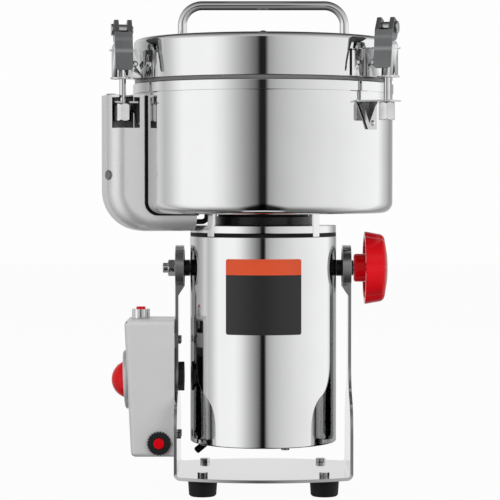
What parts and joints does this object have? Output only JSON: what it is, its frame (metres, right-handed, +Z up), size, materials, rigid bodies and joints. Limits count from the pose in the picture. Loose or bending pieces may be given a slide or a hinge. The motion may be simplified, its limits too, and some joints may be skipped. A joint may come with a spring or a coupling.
{
  "type": "electric grain mill",
  "caption": "Swing-type electric grain mill: steel grinding bowl with clamped lid on a motor column that tilts in a folded sheet stand, with timer and switch box.",
  "frame": {"origin": "on the floor plane under the axis of the motor and bowl, centre of the four feet", "axes": "+X to the lock knob's side, +Y to the back, +Z up along the motor axis"},
  "size_m": [0.2861, 0.2852, 0.4798],
  "materials": {
    "polished_steel": "mirror-polished stainless steel",
    "plain_steel": "bright zinc-plated steel",
    "grey_paint": "satin light grey paint",
    "lever_steel": "dark grey satin paint",
    "red_plastic": "glossy red",
    "black_plastic": "satin black",
    "black_rubber": "matt black",
    "cast_alloy": "as cast",
    "lamination": "varnished laminations",
    "winding": "enamelled copper and carbon",
    "label_film": "satin black film with an orange-red band"
  },
  "bodies": {
    "stand": {"stand_frame": "polished_steel", "rubber_feet": "black_rubber", "foot_bolts": "plain_steel", "control_box": "grey_paint", "box_screws": "plain_steel", "timer_bezel": "grey_paint", "timer_case": "black_plastic", "start_switch": "polished_steel", "circuit_breaker": "black_plastic", "cable_gland": "black_plastic", "cord_inlet": "black_rubber"},
    "timer_dial": {"timer_knob": "red_plastic"},
    "start_key": {"start_button": "red_plastic"},
    "reset_key": {"reset_button": "red_plastic"},
    "swing": {"motor_case": "polished_steel", "motor_top_cap": "polished_steel", "cap_gasket": "black_rubber", "bottom_cover": "black_plastic", "case_screws": "plain_steel", "motor_leads": "black_rubber", "stator": "lamination", "end_frame": "cast_alloy", "brush_gear": "winding", "ball_bearings": "plain_steel", "neck_housing": "black_plastic", "neck_seals": "black_rubber", "support_tabs": "polished_steel", "bowl": "polished_steel", "fork_brackets": "polished_steel", "fork_rivets": "plain_steel", "wiring_duct": "grey_paint", "interlock_switch": "black_plastic", "label_plate": "label_film", "pivot_stud": "plain_steel", "pivot_nut": "plain_steel", "pivot_spacers": "black_plastic"},
    "lock": {"lock_knob": "red_plastic", "knob_stud": "plain_steel", "knob_washer": "black_plastic"},
    "rotor": {"motor_shaft": "plain_steel", "armature": "lamination", "cooling_fan": "cast_alloy", "lower_blade": "polished_steel", "upper_blade": "polished_steel", "blade_nut": "plain_steel"},
    "plunger": {"interlock_plunger": "red_plastic"},
    "lid": {"lid_shell": "polished_steel", "lid_handle": "polished_steel", "lid_seal": "black_rubber", "clamp_lugs": "polished_steel", "lid_fasteners": "plain_steel"},
    "rod_left": {"draw_rod_left": "plain_steel"},
    "lever_left": {"clamp_lever_left": "lever_steel", "lever_pin_left": "plain_steel"},
    "rod_right": {"draw_rod_right": "plain_steel"},
    "lever_right": {"clamp_lever_right": "lever_steel", "lever_pin_right": "plain_steel"},
    "rod_back": {"draw_rod_back": "plain_steel"},
    "lever_back": {"clamp_lever_back": "lever_steel", "lever_pin_back": "plain_steel"}
  },
  "joints": [
    {"name": "swing_tilt", "type": "hinge", "parent": "stand", "child": "swing", "pos_m": [0, 0, 0.2178], "axis": [1, 0, 0], "range_deg": [-85, 85]},
    {"name": "rotor_spin", "type": "hinge", "parent": "swing", "child": "rotor", "pos_m": [0, 0, 0.2], "axis": [0, 0, 1], "continuous": true},
    {"name": "lid_turn", "type": "hinge", "parent": "swing", "child": "lid", "pos_m": [0, 0, 0.42], "axis": [0, 0, 1], "range_deg": [0, 18]},
    {"name": "lock_knob_turn", "type": "hinge", "parent": "swing", "child": "lock", "pos_m": [0.1, 0, 0.2178], "axis": [1, 0, 0], "continuous": true},
    {"name": "rod_left_drop", "type": "slide", "parent": "lid", "child": "rod_left", "axis": [0, 0, -1], "range_m": [0, 0.004]},
    {"name": "lever_left_turn", "type": "hinge", "parent": "rod_left", "child": "lever_left", "pos_m": [-0.13489, -0.05587, 0.4475], "axis": [-0.9903, -0.1392, 0], "range_deg": [0, 165]},
    {"name": "rod_right_drop", "type": "slide", "parent": "lid", "child": "rod_right", "axis": [0, 0, -1], "range_m": [0, 0.004]},
    {"name": "lever_right_turn", "type": "hinge", "parent": "rod_right", "child": "lever_right", "pos_m": [0.11583, -0.08888, 0.4475], "axis": [-0.9613, 0.2756, 0], "range_deg": [0, 165]},
    {"name": "rod_back_drop", "type": "slide", "parent": "lid", "child": "rod_back", "axis": [0, 0, -1], "range_m": [0, 0.004]},
    {"name": "lever_back_turn", "type": "hinge", "parent": "rod_back", "child": "lever_back", "pos_m": [0.01906, 0.14475, 0.4475], "axis": [0.1305, 0.9914, 0], "range_deg": [0, 165]},
    {"name": "timer_turn", "type": "hinge", "parent": "stand", "child": "timer_dial", "pos_m": [-0.13249, 0, 0.1077], "axis": [-0.999, 0, -0.0449], "range_deg": [0, 300]},
    {"name": "start_press", "type": "slide", "parent": "stand", "child": "start_key", "axis": [0, 0, -1], "range_m": [0, 0.0015], "stiffness_N_per_m": 300, "springref_m": -0.002},
    {"name": "reset_press", "type": "slide", "parent": "stand", "child": "reset_key", "axis": [0, 1, 0], "range_m": [0, 0.0015], "stiffness_N_per_m": 300, "springref_m": -0.002},
    {"name": "plunger_press", "type": "slide", "parent": "swing", "child": "plunger", "axis": [-0.3827, 0.9239, 0], "range_m": [0, 0.0015], "stiffness_N_per_m": 200, "springref_m": -0.002}
  ],
  "couplings": [
    {"joint": "lever_left_turn", "follows": "rod_left_drop", "rad_per_m": 719.9},
    {"joint": "lever_right_turn", "follows": "rod_right_drop", "rad_per_m": 719.9},
    {"joint": "lever_back_turn", "follows": "rod_back_drop", "rad_per_m": 719.9}
  ]
}
